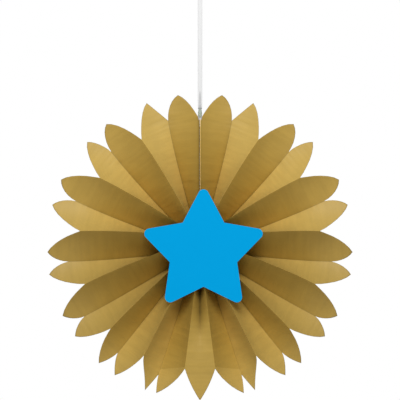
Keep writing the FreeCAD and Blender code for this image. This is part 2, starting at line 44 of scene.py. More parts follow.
PANEL_OPENINGS = (14.1, 14.4, 14.5, 12.3, 14.5, 12.6, 14.0, 11.4, 13.3, 11.2, 9.9, 10.4, 9.4, 10.9)
PANEL_COUNT = len(PANEL_OPENINGS)
LAP_HALF_ANGLE = 7.1
SIDE_ANGLE = 180 - LAP_HALF_ANGLE
PANEL_WIDTH = 0.045
SHEET_THICKNESS = 0.00025
MOUNTAIN_NOTCH = 0.1615
VALLEY_NOTCH = 0.1765
SEAM_NOTCH = 0.1685
TIP_RADIUS = 0.2055
LAST_TIP_RADIUS = 0.204
LAP_TROUGH = 0.034
LAP_FLAT_FROM = 0.156
FRONT_LEAN = 0.0155
BACK_LEAN = 0.006
LEAN_FULL_TO = 105
LEAN_ENDS_AT = 160
FOLD_BOW = 0.0018
WAIST_HALF_LENGTH = 0.003
WAIST_PITCH = 0.0006
WAIST_RISE = 0.0047
WAIST_ZONE = 0.034
GLUE_FLANGE = 0.0048
SEAM_HALF = 0.000325
MIDDLE_Y = 0.0014
WAIST_TILT = math.asin((FRONT_LEAN + BACK_LEAN) / PANEL_WIDTH)
INTO_DEPTH = Vector((0, math.cos(WAIST_TILT), -math.sin(WAIST_TILT)))
UP_STACK = Vector((0, math.sin(WAIST_TILT), math.cos(WAIST_TILT)))

# How the cut differs from petal to petal: the notch at each fold, and each petal's tip

FOLD_NOTCHES = (
    0.1685, 0.1735, 0.162, 0.173, 0.161, 0.1765, 0.160, 0.177,
    0.1595, 0.180, 0.1595, 0.179, 0.161, 0.1795, 0.1615,
)
TIP_SHARES = (0.61, 0.59, 0.63, 0.70, 0.64, 0.69, 0.71, 0.69, 0.70, 0.65, 0.73, 0.66, 0.75, 0.90)
TIP_RADII = (
    0.206, 0.206, 0.2075, 0.2065, 0.2075, 0.206, 0.205,
    0.2055, 0.2065, 0.206, 0.2065, 0.2065, 0.2055, 0.2035,
)

# A petal's side is round where its fullness is 1, straight at 0 and hollow below 0.

CUT_POLES_FRONT, FULL_POLES_FRONT = (0.33, 0.68), (0.36, 0.87)
CUT_POLES_BACK, FULL_POLES_BACK = (0.1, 0.5), (0.42, 0.86)
FRONT_FULLNESS = (1.0, 1.0, 1.0, 1.0, 1.0, 1.0, 0.9, 0.9, 0.8, 0.8, 0.6, 0.5, -1.2, 0.5)
BACK_FULLNESS = (1.0, -0.1, 1.0, 0.8, 1.0, 0.9, 0.9, 0.9, 0.8, 0.8, 0.6, 0.5, 0.0, 0.5)

# Poles of the lapped petal's form and cut, from its fold to its middle

LAP_POLES_ACROSS_WAIST = (1, 0.8, 0.4, 0)
LAP_POLES_ACROSS_RIM = (1, 0.78, 0.36, 0)
LAP_POLES_DEPTH_WAIST = (0, 0.1, 0.8, 1)
LAP_POLES_DEPTH_RIM = (0, 0.3, 0.72, 1)
LAP_POLES_CUT = (0, 0.25, 0.68, 1)

# Sizes of the tie, pads and ribbon

THREAD_RADIUS = 0.00023
THREAD_TURNS = 4
THREAD_LAYERS = 2
TIE_CLEARANCE = 0.0002
FOLD_NOSE = 0.00015
PAD_LOW = Vector((0.006, -0.0227, 0.008))
PAD_HIGH = Vector((0.024, -0.02095, 0.020))
RIBBON_WIDTH = 0.0058
RIBBON_THICKNESS = 0.0008
RIBBON_TOP = 0.334
KNOT_LOW = 0.1715
KNOT_TOP = 0.1825
KNOT_HALF_WIDTH = 0.0028
KNOT_HALF_DEPTH = 0.0022
GATHER_FROM = 0.207
SPINE_FADES_OVER = 0.004
SPINE_SHADE = 0.66
CLOSES_FROM = 0.190
CLOSES_OVER = 0.0075
EYE_HOLE_RUN = 0.162
EYE_INSET = 0.0019
EYE_SIDE = 0.00145
EYE_HALF_WIDTH = 0.0005
EYE_SPREAD = 0.0007
EYE_SPREADS_FROM = 0.1665
EYE_SPREADS_OVER = 0.006
KNOT_NECK = 0.5
WRAP_SLANT = 11
RIDGE_SLANT = 19
LOOP_RADIUS = 0.008
LOOP_DROP = 0.018
LOOP_KNOT = 0.007
LOOP_KNOT_HALF_WIDTH = 0.0035

# The paper's finish: its shaded and lit golds (painted light and shade), its creases, and how far painted
# shade, painted highlights and the cut's dark line reach

SHADED_GOLD = (0.460, 0.296, 0.056)
LIT_GOLD = (0.640, 0.443, 0.116)
LIT_SHARE_FADING = 0.45
LIT_SHARE_BESIDE_LAST = 0.55
LIT_SHARE_ON_LAP = 0.12
LIT_SHARE_AT_RIM = 0.35
CREASE_LENGTH = 0.05
CREASE_PITCH = 0.0072
CREASE_DEPTH = 0.0008
HIGHLIGHT_LINE_WIDTH = 0.0012
VALLEY_WIDTH = 0.014
NOOK_WIDTH = 0.003
CUT_WIDTH = 0.0016
TROUGH_WIDTH = 0.020
TROUGH_ENDS_AT = 0.122
TROUGH_FADES_OVER = 0.035
SEAM_SHADE_WIDTH = 0.0050
SEAM_HALF_SEEN = 0.0006
SEAM_FROM_Z = 0.03
MIDDLE_SIDE_PANEL = 7.5

# The sheet's mesh

RUN_STEP = 0.002
RUN_COUNT = int(TIP_RADIUS / RUN_STEP) + 4
STATIONS = 88
STEPS_ACROSS = 12
LAP_STEPS = 12


def direction_of(fold):
    """Degrees from the top at which a fold runs in front view."""
    return SIDE_ANGLE * sum(PANEL_OPENINGS[:fold]) / sum(PANEL_OPENINGS)


def is_front(fold):
    return fold % 2 == 0


def notch_of(fold):
    """How far a fold of the solid reaches from the hub."""
    if fold == 0:
        return SEAM_NOTCH
    return MOUNTAIN_NOTCH if is_front(fold) else VALLEY_NOTCH


def waist_share(run):
    """1 at the pressed waist, 0 where the pleats have left its form."""
    return max(1 - run / WAIST_ZONE, 0) ** 2


def sideways_shift(fold, run):
    """How far a fold stands towards the top from its radial line."""
    if fold == 0:
        return 0
    direction = direction_of(fold)
    lean_share = min(max((LEAN_ENDS_AT - direction) / (LEAN_ENDS_AT - LEAN_FULL_TO), 0), 1)
    along = min(run / notch_of(fold), 1)
    bow = FOLD_BOW * 6.75 * along**2 * (1 - along)  # 6.75 brings its peak to FOLD_BOW
    lean = FRONT_LEAN if is_front(fold) else BACK_LEAN
    straight = lean * math.sin(math.radians(direction)) * (1 - along)
    return lean_share * (straight + bow) * (1 if is_front(fold) else -1)


def half_depth(fold, run):
    """How far a fold stands before or behind the sheet's middle."""
    beside = PANEL_OPENINGS[max(fold - 1, 0):fold + 1]
    opening = math.radians(sum(beside) / len(beside) * SIDE_ANGLE / sum(PANEL_OPENINGS))
    reach = min(run, MOUNTAIN_NOTCH)
    chord = 2 * reach * math.sin(opening / 2)
    depth = PANEL_WIDTH / 2 * math.sqrt(max(1 - (chord / PANEL_WIDTH) ** 2, 0.04))
    depth -= PANEL_WIDTH / 2 * (1 - math.cos(WAIST_TILT)) * waist_share(run)
    return depth * (1 - (run - reach) / TIP_RADIUS)


def waist_point(fold):
    """Where a fold leaves the pressed waist."""
    side = -1 if is_front(fold) else 1
    layer = PANEL_COUNT / 2 - fold
    middle = Vector((-WAIST_HALF_LENGTH, MIDDLE_Y, WAIST_RISE))
    return middle + INTO_DEPTH * (side * PANEL_WIDTH / 2) + UP_STACK * (layer * WAIST_PITCH)


def free_point(fold, run):
    """Where a fold would run if the sheet weren't pressed at its waist."""
    angle = math.radians(direction_of(fold))
    outward = Vector((-math.sin(angle), 0, math.cos(angle)))
    to_top = Vector((math.cos(angle), 0, math.sin(angle)))
    side = -1 if is_front(fold) else 1
    beside_seam = SEAM_HALF if fold == 0 else 0
    point = outward * run + to_top * sideways_shift(fold, run)
    return point + Vector((-beside_seam, MIDDLE_Y + side * half_depth(fold, run), 0))


def fold_point(fold, run):
    """A point on a fold of the left half, at a distance from the hub."""
    drawn_in = waist_point(fold) - free_point(fold, 0)
    return free_point(fold, run) + drawn_in * waist_share(run)


def flange_direction(run):
    """Which way the seam's margin is turned back from its fold."""
    share = waist_share(run)
    tilted = INTO_DEPTH * share + Vector((0, 1, 0)) * (1 - share)
    return (tilted * PANEL_WIDTH + UP_STACK * (share * WAIST_PITCH)).normalized()


def lap_share(run):
    """How much of its trough the lapped petal has: 1 at the hub, 0 where it lies flat."""
    left = max(1 - run / LAP_FLAT_FROM, 0)
    return left * left * (3 - 2 * left)


def lap_direction(run):
    """Which way the lapped petal leaves its fold."""
    share = waist_share(run)
    trough = lap_share(run)
    at_waist = INTO_DEPTH * PANEL_WIDTH - UP_STACK * WAIST_PITCH
    further = Vector((1 - trough, trough, 0)) * PANEL_WIDTH
    return (at_waist * share + further * (1 - share)).normalized()


def lap_middle(run):
    """A point on the middle line of the lapped petal."""
    share = waist_share(run)
    back = lap_direction(run) * share + Vector((0, 1, 0)) * (1 - share)
    point = fold_point(PANEL_COUNT, run) + back * (LAP_TROUGH * lap_share(run))
    return Vector((0, point.y, point.z))


class Wiring:
    """Adds nodes to one node tree and joins them up."""

    def __init__(self, tree):
        self.tree = tree

    def feed(self, socket, value):
        if isinstance(value, bpy.types.NodeSocket):
            self.tree.links.new(value, socket)
        else:
            socket.default_value = value

    def node(self, kind, inputs=None, **settings):
        made = self.tree.nodes.new(kind)
        for key, value in settings.items():
            setattr(made, key, value)
        for socket, value in (inputs or {}).items():
            self.feed(made.inputs[socket], value)
        return made

    def calc(self, operation, *values):
        made = self.node("ShaderNodeMath", operation=operation)
        for socket, value in zip(made.inputs, values):
            self.feed(socket, value)
        return made.outputs[0]

    def times(self, first, *others):
        for other in others:
            first = self.calc("MULTIPLY", first, other)
        return first

    def rest(self, share):
        """What a share leaves of 1."""
        return self.calc("SUBTRACT", 1, share)

    def held(self, value):
        """The value, kept between 0 and 1."""
        return self.calc("MINIMUM", self.calc("MAXIMUM", value, 0), 1)

    def vector(self, operation, *values):
        made = self.node("ShaderNodeVectorMath", operation=operation)
        places = (0, 3) if operation == "SCALE" else (0, 1, 2)
        for place, value in zip(places, values):
            self.feed(made.inputs[place], value)
        return made.outputs["Value" if operation in ("DOT_PRODUCT", "LENGTH") else "Vector"]

    def blend(self, share, first, second):
        """first at share 0, second at share 1."""
        return self.calc("ADD", first, self.times(share, self.calc("SUBTRACT", second, first)))

    def blend_vectors(self, share, first, second):
        step = self.vector("SUBTRACT", second, first)
        return self.vector("ADD", first, self.vector("SCALE", step, share))


def new_group(name, kind, sockets):
    """A node group with its inputs and outputs: (direction, name, type, value)."""
    tree = bpy.data.node_groups.new(name, kind)
    for direction, label, socket_type, value in sockets:
        socket = tree.interface.new_socket(label, in_out=direction, socket_type=socket_type)
        if value is not None:
            socket.default_value = value
    return tree


def bezier(wiring, along, first, second):
    """A cubic from 0 to 1 whose inner poles stand at first and second."""
    left = wiring.rest(along)
    one = wiring.times(left, left, along)
    two = wiring.times(along, along, left)
    total = wiring.calc("ADD", wiring.times(one, first), wiring.times(two, second))
    return wiring.calc("ADD", wiring.times(total, 3), wiring.calc("POWER", along, 3))


def pleat_tree():
    """Panels between fold lines: each vertex of one long grid is carried to its place on its panel.

    The geometry that comes in holds the fold lines, one after the other, each sampled every
    Run Step from the hub. The folds are front and back in turn. Each line carries its fold's
    notch, and the tip_share, tip_radius, front_fullness and back_fullness of the petal after it.
    """
    inputs = [
        ("Panels", "NodeSocketInt", PANEL_COUNT),
        ("Steps Across", "NodeSocketInt", STEPS_ACROSS),
        ("Stations", "NodeSocketInt", STATIONS),
        ("Line Points", "NodeSocketInt", RUN_COUNT),
        ("Run Step", "NodeSocketFloat", RUN_STEP),
        ("Widest Radius", "NodeSocketFloat", TIP_RADIUS),
        ("Panel Bow", "NodeSocketFloat", 0.0045),
        ("Last Tip Crease Front", "NodeSocketFloat", 0.159),
        ("Last Tip Crease Back", "NodeSocketFloat", 0.172),
        ("Last Tip Slope", "NodeSocketFloat", 0.22),
        ("Crinkle Depth", "NodeSocketFloat", 0.0009),
        ("Crinkle Pitch", "NodeSocketFloat", 0.011),
        ("Crinkle Length", "NodeSocketFloat", 0.12),
        ("Seed", "NodeSocketFloat", 4.0),
        ("Paper", "NodeSocketMaterial", None),
    ]
    sockets = [("INPUT", "Geometry", "NodeSocketGeometry", None)]
    sockets += [("INPUT", *entry) for entry in inputs]
    sockets.append(("OUTPUT", "Geometry", "NodeSocketGeometry", None))
    tree = new_group("pleated_panels", "GeometryNodeTree", sockets)
    w = Wiring(tree)
    source = w.node("NodeGroupInput").outputs
    steps, stations = source["Steps Across"], source["Stations"]
    rows = w.calc("ADD", stations, 1)
    columns = w.calc("ADD", w.times(source["Panels"], steps), 1)
    grid = w.node("GeometryNodeMeshGrid", {"Vertices X": columns, "Vertices Y": rows})
    index = w.node("GeometryNodeInputIndex").outputs[0]
    column = w.calc("FLOOR", w.calc("DIVIDE", w.calc("ADD", index, 0.5), rows))
    row = w.calc("SUBTRACT", index, w.times(column, rows))
    station = w.calc("DIVIDE", row, stations)

    place = w.calc("DIVIDE", column, steps)
    last = w.calc("SUBTRACT", source["Panels"], 1)
    panel = w.calc("MINIMUM", w.calc("FLOOR", w.calc("ADD", place, 0.001)), last)
    turned = w.calc("FLOORED_MODULO", panel, 2)
    through = w.calc("SUBTRACT", place, panel)
    from_front = w.blend(turned, through, w.rest(through))
    front_fold = w.calc("ADD", panel, turned)
    back_fold = w.calc("SUBTRACT", w.calc("ADD", panel, 1), turned)

    def line_value(name, fold):
        """What the fold's line carries under that name."""
        value = w.node("GeometryNodeInputNamedAttribute", {"Name": name}, data_type="FLOAT").outputs[0]
        sample = w.node("GeometryNodeSampleIndex", {
            "Geometry": source["Geometry"], "Value": value,
            "Index": w.times(fold, source["Line Points"]),
        }, data_type="FLOAT", domain="POINT")
        return sample.outputs[0]

    # The petal's cut: both its sides rise to the tip as cubics, the rounder the fuller it is.
    tip_share, tip_radius = line_value("tip_share", panel), line_value("tip_radius", panel)
    on_back = w.calc("GREATER_THAN", from_front, 0.5)
    rising = w.times(2, w.blend(on_back, from_front, w.rest(from_front)))

    def rise(fullness, straight, full):
        poles = [w.blend(line_value(fullness, panel), *pair) for pair in zip(straight, full)]
        return bezier(w, rising, *poles)

    front_across = w.times(tip_share, bezier(w, rising, *CUT_POLES_FRONT))
    back_across = w.rest(w.times(w.rest(tip_share), bezier(w, rising, *CUT_POLES_BACK)))
    across = w.blend(on_back, front_across, back_across)
    front_rise = rise("front_fullness", CUT_POLES_FRONT, FULL_POLES_FRONT)
    back_rise = rise("back_fullness", CUT_POLES_BACK, FULL_POLES_BACK)
    front_cut = w.blend(front_rise, line_value("notch", front_fold), tip_radius)
    back_cut = w.blend(back_rise, line_value("notch", back_fold), tip_radius)
    cut = w.blend(on_back, front_cut, back_cut)
    run = w.times(station, cut)

    step = w.calc("DIVIDE", run, source["Run Step"])
    whole = w.calc("FLOOR", step)
    part = w.calc("SUBTRACT", step, whole)
    position = w.node("GeometryNodeInputPosition").outputs[0]

    def on_line(fold, extra):
        start = w.times(fold, source["Line Points"])
        place_on_line = w.calc("ADD", w.calc("ADD", start, whole), extra)
        sample = w.node(
            "GeometryNodeSampleIndex",
            {"Geometry": source["Geometry"], "Value": position, "Index": place_on_line},
            data_type="FLOAT_VECTOR", domain="POINT",
        )
        return sample.outputs[0]

    front_start = on_line(front_fold, 0)
    front_end = on_line(front_fold, 1)
    front = w.blend_vectors(part, front_start, front_end)
    back = w.blend_vectors(part, on_line(back_fold, 0), on_line(back_fold, 1))
    flat = w.blend_vectors(across, front, back)

    # The panel bows away from the viewer, more the further it is opened.
    over = w.vector("SUBTRACT", back, front)
    along = w.vector("SUBTRACT", front_end, front_start)
    normal = w.vector("NORMALIZE", w.vector("CROSS_PRODUCT", over, along))
    facing = w.rest(w.times(turned, 2))
    behind = w.vector("SCALE", normal, facing)
    hump = w.times(4, w.times(across, w.rest(across)))
    opened = w.calc("DIVIDE", run, source["Widest Radius"])
    bow = w.times(source["Panel Bow"], hump, opened)

    # Creases across the panel, dying out at the folds.
    texture_place = w.node("ShaderNodeCombineXYZ", {
        "X": w.calc("DIVIDE", w.times(place, PANEL_WIDTH), source["Crinkle Length"]),
        "Y": w.calc("DIVIDE", run, source["Crinkle Pitch"]),
        "Z": w.times(panel, source["Seed"]),
    }).outputs[0]
    crinkle = w.node(
        "ShaderNodeTexNoise", {"Vector": texture_place, "Scale": 1.0, "Detail": 2.0, "Roughness": 0.5},
    ).outputs[0]
    crinkle = w.times(w.calc("SUBTRACT", crinkle, 0.5), source["Crinkle Depth"])
    crinkle = w.times(crinkle, w.times(2, hump))
    moved = w.vector("ADD", flat, w.vector("SCALE", behind, w.calc("ADD", bow, crinkle)))

    # The tips beside the lapped petal are bent towards the viewer beyond a slanting crease.
    on_last = w.calc("GREATER_THAN", panel, w.calc("SUBTRACT", last, 0.5))
    crease = w.blend(across, source["Last Tip Crease Front"], source["Last Tip Crease Back"])
    beyond = w.calc("MAXIMUM", w.calc("SUBTRACT", run, crease), 0)
    forward = w.times(beyond, source["Last Tip Slope"], on_last)
    tipped = w.node("ShaderNodeCombineXYZ", {"Y": w.times(forward, -1)}).outputs[0]
    moved = w.vector("ADD", moved, tipped)
    carried = w.node("GeometryNodeSetPosition", {"Geometry": grid.outputs["Mesh"], "Position": moved})

    def mapped(geometry, name, x, y):
        """Stores a map whose places were reckoned at the points of the mesh."""
        at_point = w.node("GeometryNodeFieldOnDomain", data_type="FLOAT_VECTOR", domain="POINT")
        w.feed(at_point.inputs[0], w.node("ShaderNodeCombineXYZ", {"X": x, "Y": y}).outputs[0])
        stored = w.node(
            "GeometryNodeStoreNamedAttribute",
            {"Geometry": geometry, "Name": name, "Value": at_point.outputs[0]},
            data_type="FLOAT2", domain="CORNER",
        )
        return stored.outputs[0]

    with_paper = mapped(carried.outputs[0], "paper", w.times(place, PANEL_WIDTH), run)
    with_edge = mapped(with_paper, "edge", w.calc("SUBTRACT", cut, run), w.calc("SUBTRACT", crease, run))
    realized = w.node("GeometryNodeRealizeInstances", {"Geometry": with_edge})
    painted = w.node(
        "GeometryNodeSetMaterial", {"Geometry": realized.outputs[0], "Material": source["Paper"]},
    )
    end = w.node("NodeGroupOutput")
    w.feed(end.inputs[0], painted.outputs[0])
    return tree


def set_inputs(modifier, **values):
    """Sets a Geometry Nodes modifier's inputs by their labels, through their identifiers."""
    for item in modifier.node_group.interface.items_tree:
        if item.in_out == "INPUT" and item.name in values:
            modifier[item.identifier] = values[item.name]


def link_object(name, data):
    """A new object in the scene."""
    made = bpy.data.objects.new(name, data)
    bpy.context.scene.collection.objects.link(made)
    return made


def plain_mesh(thing):
    """Gives the object its evaluated shape as a plain mesh, and takes its modifiers away."""
    graph = bpy.context.evaluated_depsgraph_get()
    graph.update()
    mesh = bpy.data.meshes.new_from_object(thing.evaluated_get(graph))
    thing.modifiers.clear()
    old = thing.data
    thing.data = mesh
    bpy.data.meshes.remove(old)


def thickened(piece, thickness):
    """The piece with walls of that thickness, half to each side of its surface."""
    wall = piece.modifiers.new("thickness", "SOLIDIFY")
    wall.thickness = thickness
    wall.offset = 0
    plain_mesh(piece)
    return piece


def material(name):
    """An empty material with its wiring and its shader."""
    made = bpy.data.materials.new(name)
    made.use_nodes = True
    made.node_tree.nodes.clear()
    w = Wiring(made.node_tree)
    shader = w.node("ShaderNodeBsdfPrincipled")
    output = w.node("ShaderNodeOutputMaterial")
    w.feed(output.inputs["Surface"], shader.outputs[0])
    return made, w, shader


def fibre_grain():
    """Fibres and soft blotches: Tone changes around 1, Height around 0."""
    tree = new_group("fibre_grain", "ShaderNodeTree", [
        ("INPUT", "Place", "NodeSocketVector", None),
        ("INPUT", "Fibres Per Metre", "NodeSocketFloat", 1200.0),
        ("INPUT", "Blotches Per Metre", "NodeSocketFloat", 45.0),
        ("INPUT", "Tone Change", "NodeSocketFloat", 0.06),
        ("OUTPUT", "Tone", "NodeSocketFloat", None),
        ("OUTPUT", "Height", "NodeSocketFloat", None),
    ])
    w = Wiring(tree)
    source = w.node("NodeGroupInput").outputs
    fibres = w.node("ShaderNodeTexNoise", {
        "Vector": source["Place"], "Scale": source["Fibres Per Metre"], "Detail": 3.0, "Roughness": 0.6,
    }).outputs[0]
    blotches = w.node("ShaderNodeTexNoise", {
        "Vector": source["Place"], "Scale": source["Blotches Per Metre"], "Detail": 2.0,
    }).outputs[0]
    fine = w.calc("SUBTRACT", fibres, 0.5)
    broad = w.calc("SUBTRACT", blotches, 0.5)
    change = w.times(w.calc("ADD", fine, broad), source["Tone Change"])
    end = w.node("NodeGroupOutput")
    w.feed(end.inputs["Tone"], w.calc("ADD", 1, change))
    w.feed(end.inputs["Height"], fine)
    return tree


def worn_line():
    """1 where Distance is 0, falling softly to 0 at Width."""
    tree = new_group("worn_line", "ShaderNodeTree", [
        ("INPUT", "Distance", "NodeSocketFloat", 0.0),
        ("INPUT", "Width", "NodeSocketFloat", 0.001),
        ("OUTPUT", "Mask", "NodeSocketFloat", None),
    ])
    w = Wiring(tree)
    source = w.node("NodeGroupInput").outputs
    share = w.calc("DIVIDE", w.calc("ABSOLUTE", source["Distance"]), source["Width"])
    left = w.calc("MAXIMUM", w.rest(share), 0)
    end = w.node("NodeGroupOutput")
    w.feed(end.inputs["Mask"], w.times(left, left))
    return tree


def woven_threads():
    """Threads over and under each other: Height is 1 on their crowns."""
    tree = new_group("woven_threads", "ShaderNodeTree", [
        ("INPUT", "Place", "NodeSocketVector", None),
        ("INPUT", "Across Per Metre", "NodeSocketFloat", 3000.0),
        ("INPUT", "Along Per Metre", "NodeSocketFloat", 1500.0),
        ("OUTPUT", "Height", "NodeSocketFloat", None),
    ])
    w = Wiring(tree)
    source = w.node("NodeGroupInput").outputs
    place = w.node("ShaderNodeSeparateXYZ", {0: source["Place"]}).outputs
    across = w.calc("SINE", w.times(place[0], source["Across Per Metre"], math.tau))
    along = w.calc("SINE", w.times(place[1], source["Along Per Metre"], math.tau))
    end = w.node("NodeGroupOutput")
    w.feed(end.inputs["Height"], w.calc("ADD", 0.5, w.times(0.25, w.calc("ADD", across, along))))
    return tree


def place_group(w, tree, **values):
    """A node group in a material, with its inputs set by name."""
    made = w.node("ShaderNodeGroup", node_tree=tree)
    for name, value in values.items():
        w.feed(made.inputs[name.replace("_", " ")], value)
    return made.outputs


def tinted(w, colour, tone):
    """A colour times a tone."""
    return w.vector("SCALE", colour, tone)


def raised(w, shader, height, depth):
    """Gives a finish relief of that depth."""
    bump = w.node("ShaderNodeBump", {"Strength": 1.0, "Distance": depth, "Height": height})
    w.feed(shader.inputs["Normal"], bump.outputs[0])


def gold_paper(grain, line):
    """Matt gold tissue: creased across the panels, darker at its cut edges, with painted light and shade:
    alternate panels painted lit or shaded, painted highlights along its front folds and painted shade along
    its back folds.
    """
    made, w, shader = material("gold_paper")
    paper = w.node("ShaderNodeUVMap", uv_map="paper").outputs[0]
    edge = w.node("ShaderNodeSeparateXYZ", {0: w.node("ShaderNodeUVMap", uv_map="edge").outputs[0]}).outputs
    place = w.node("ShaderNodeTexCoord").outputs["Object"]
    fibres = place_group(w, grain, Place=place, Fibres_Per_Metre=1500.0, Tone_Change=0.17)

    spread = w.node("ShaderNodeSeparateXYZ", {0: paper}).outputs
    crease_place = w.node("ShaderNodeCombineXYZ", {
        "X": w.calc("DIVIDE", spread[0], CREASE_LENGTH), "Y": w.calc("DIVIDE", spread[1], CREASE_PITCH),
    }).outputs[0]
    creases = w.node(
        "ShaderNodeTexNoise", {"Vector": crease_place, "Scale": 1.0, "Detail": 1.5, "Roughness": 0.5},
    ).outputs[0]
    crease_tone = w.calc("ADD", 0.91, w.times(creases, 0.18))

    # Painted light and shade: every second panel takes the lit gold and the others the shaded gold, as light
    # falls across the pleats. The lit share fades down the panels; the last panel's body is painted shaded,
    # the panel beside it half lit and the lap a little lit.
    turns = w.calc("DIVIDE", spread[0], PANEL_WIDTH)
    panel = w.calc("FLOOR", turns)
    bent_forward = w.calc("GREATER_THAN", edge[1], 0)
    last_body = w.times(w.calc("COMPARE", panel, PANEL_COUNT - 1, 0.5), bent_forward)
    beside_last = w.calc("COMPARE", panel, PANEL_COUNT - 2, 0.5)
    on_lap = w.calc("GREATER_THAN", turns, PANEL_COUNT)
    fading = w.rest(w.times(panel, LIT_SHARE_FADING / PANEL_COUNT))
    lit_share = w.times(w.calc("FLOORED_MODULO", panel, 2), w.calc("SUBTRACT", fading, last_body))
    lit_share = w.calc("MAXIMUM", lit_share, w.times(on_lap, LIT_SHARE_ON_LAP))
    lit_share = w.calc("MAXIMUM", lit_share, w.times(beside_last, LIT_SHARE_BESIDE_LAST))

    def along_line(distance, width):
        return place_group(w, line, Distance=distance, Width=width)["Mask"]

    def dimmed(tone, mask, amount):
        """The tone, darker by that amount where the mask is 1."""
        return w.times(tone, w.rest(w.times(mask, amount)))

    # Painted highlight along the front folds, painted shade along the back folds, and the cut edge dark.
    from_front_fold = w.times(w.calc("PINGPONG", turns, 1), PANEL_WIDTH)
    from_back_fold = w.calc("SUBTRACT", PANEL_WIDTH, from_front_fold)
    fold_highlight = along_line(from_front_fold, HIGHLIGHT_LINE_WIDTH)
    # Painted shade along the back folds, strongest towards the hub and lighter on lit panels, with a narrow
    # darker line in their nooks.
    deep = w.calc("MAXIMUM", w.calc("SUBTRACT", 1.1, w.calc("DIVIDE", spread[1], 0.19)), 0)
    valley = w.times(along_line(from_back_fold, VALLEY_WIDTH), deep)
    tone = w.times(fibres["Tone"], crease_tone)
    tone = w.times(tone, w.calc("ADD", 1, w.times(fold_highlight, 0.12)))
    tone = dimmed(tone, valley, w.blend(lit_share, 0.45, 0.15))
    tone = dimmed(tone, along_line(from_back_fold, NOOK_WIDTH), 0.28)
    tone = dimmed(tone, along_line(edge[0], CUT_WIDTH), 0.45)

    # Painted shade in the lapped petal's trough, darkest towards the waist.
    from_lap_middle = w.times(w.calc("SUBTRACT", turns, PANEL_COUNT + 0.5), PANEL_WIDTH)
    to_trough_end = w.calc("SUBTRACT", TROUGH_ENDS_AT, spread[1])
    inner = w.held(w.calc("DIVIDE", to_trough_end, TROUGH_FADES_OVER))
    tone = dimmed(tone, w.times(along_line(from_lap_middle, TROUGH_WIDTH), inner), 0.72)

    # Painted shade: the panels at the fan's sides are a little darker than those above and below, as if
    # turned from the light.
    off_side = w.calc("ABSOLUTE", w.calc("SUBTRACT", panel, MIDDLE_SIDE_PANEL))
    at_side = w.held(w.calc("SUBTRACT", 2, w.calc("DIVIDE", off_side, 1.5)))
    tone = dimmed(tone, at_side, 0.14)

    # The seam: painted shade on its left fold and a painted highlight on its right one, as if the right fold
    # catches the light.
    seen = w.node("ShaderNodeSeparateXYZ", {0: place}).outputs
    above = w.calc("GREATER_THAN", seen[2], SEAM_FROM_Z)
    shaded = along_line(w.calc("ADD", seen[0], SEAM_HALF_SEEN), SEAM_SHADE_WIDTH)
    pale = along_line(w.calc("SUBTRACT", seen[0], SEAM_HALF_SEEN), HIGHLIGHT_LINE_WIDTH)
    seam = w.calc("SUBTRACT", w.times(pale, 1.4), w.times(shaded, 0.55))
    tone = w.times(tone, w.calc("ADD", 1, w.times(seam, above)))

    # Towards the rim the painted light and shade of the panels draw together.
    to_rim = w.times(w.calc("MAXIMUM", w.calc("SUBTRACT", spread[1], 0.13), 0), 9)
    colour = w.blend_vectors(w.blend(to_rim, lit_share, LIT_SHARE_AT_RIM), SHADED_GOLD, LIT_GOLD)
    w.feed(shader.inputs["Base Color"], tinted(w, colour, tone))
    w.feed(shader.inputs["Roughness"], 0.5)
    w.feed(shader.inputs["Specular IOR Level"], 0.28)
    height = w.calc("ADD", w.times(fibres["Height"], 0.05), creases)
    raised(w, shader, height, CREASE_DEPTH)
    return made


def blue_card(grain):
    """Smooth printed card."""
    made, w, shader = material("blue_card")
    place = w.node("ShaderNodeTexCoord").outputs["Object"]
    fibres = place_group(w, grain, Place=place, Fibres_Per_Metre=2200.0, Tone_Change=0.02)
    w.feed(shader.inputs["Base Color"], tinted(w, (0.0, 0.38, 0.80), fibres["Tone"]))
    w.feed(shader.inputs["Roughness"], 0.7)
    w.feed(shader.inputs["Specular IOR Level"], 0.03)
    raised(w, shader, fibres["Height"], 0.00002)
    return made


def satin(name, colour, weave):
    """Woven satin, darkened by the piece's painted shade. The piece's own map runs across and along it in
    metres.
    """
    made, w, shader = material(name)
    place = w.node("ShaderNodeUVMap", uv_map="weave").outputs[0]
    gather_shade = w.node("ShaderNodeAttribute", attribute_name="shade").outputs["Fac"]
    threads = place_group(w, weave, Place=place)["Height"]
    # Slightly paler on the thread crowns: a small painted highlight.
    tone = w.calc("SUBTRACT", w.calc("ADD", 0.96, w.times(threads, 0.04)), gather_shade)
    w.feed(shader.inputs["Base Color"], tinted(w, colour, tone))
    w.feed(shader.inputs["Roughness"], 0.42)
    raised(w, shader, threads, 0.00003)
    return made


def wound_thread_finish(weave):
    """Flat twisted thread, paler on its crowns and darker between them: painted highlight and painted shade.
    """
    made, w, shader = material("wound_thread")
    place = w.node("ShaderNodeTexCoord").outputs["Object"]
    threads = place_group(w, weave, Place=place, Across_Per_Metre=2200.0, Along_Per_Metre=900.0)["Height"]
    tone = w.calc("ADD", 0.8, w.times(threads, 0.3))
    w.feed(shader.inputs["Base Color"], tinted(w, (0.46, 0.31, 0.09), tone))
    w.feed(shader.inputs["Roughness"], 0.75)
    raised(w, shader, threads, 0.00006)
    return made


def foam(grain):
    """Pale closed-cell foam."""
    made, w, shader = material("foam")
    place = w.node("ShaderNodeTexCoord").outputs["Object"]
    cells = place_group(w, grain, Place=place, Fibres_Per_Metre=2600.0, Tone_Change=0.12)
    w.feed(shader.inputs["Base Color"], tinted(w, (0.80, 0.80, 0.77), cells["Tone"]))
    w.feed(shader.inputs["Roughness"], 0.9)
    raised(w, shader, cells["Height"], 0.0002)
    return made


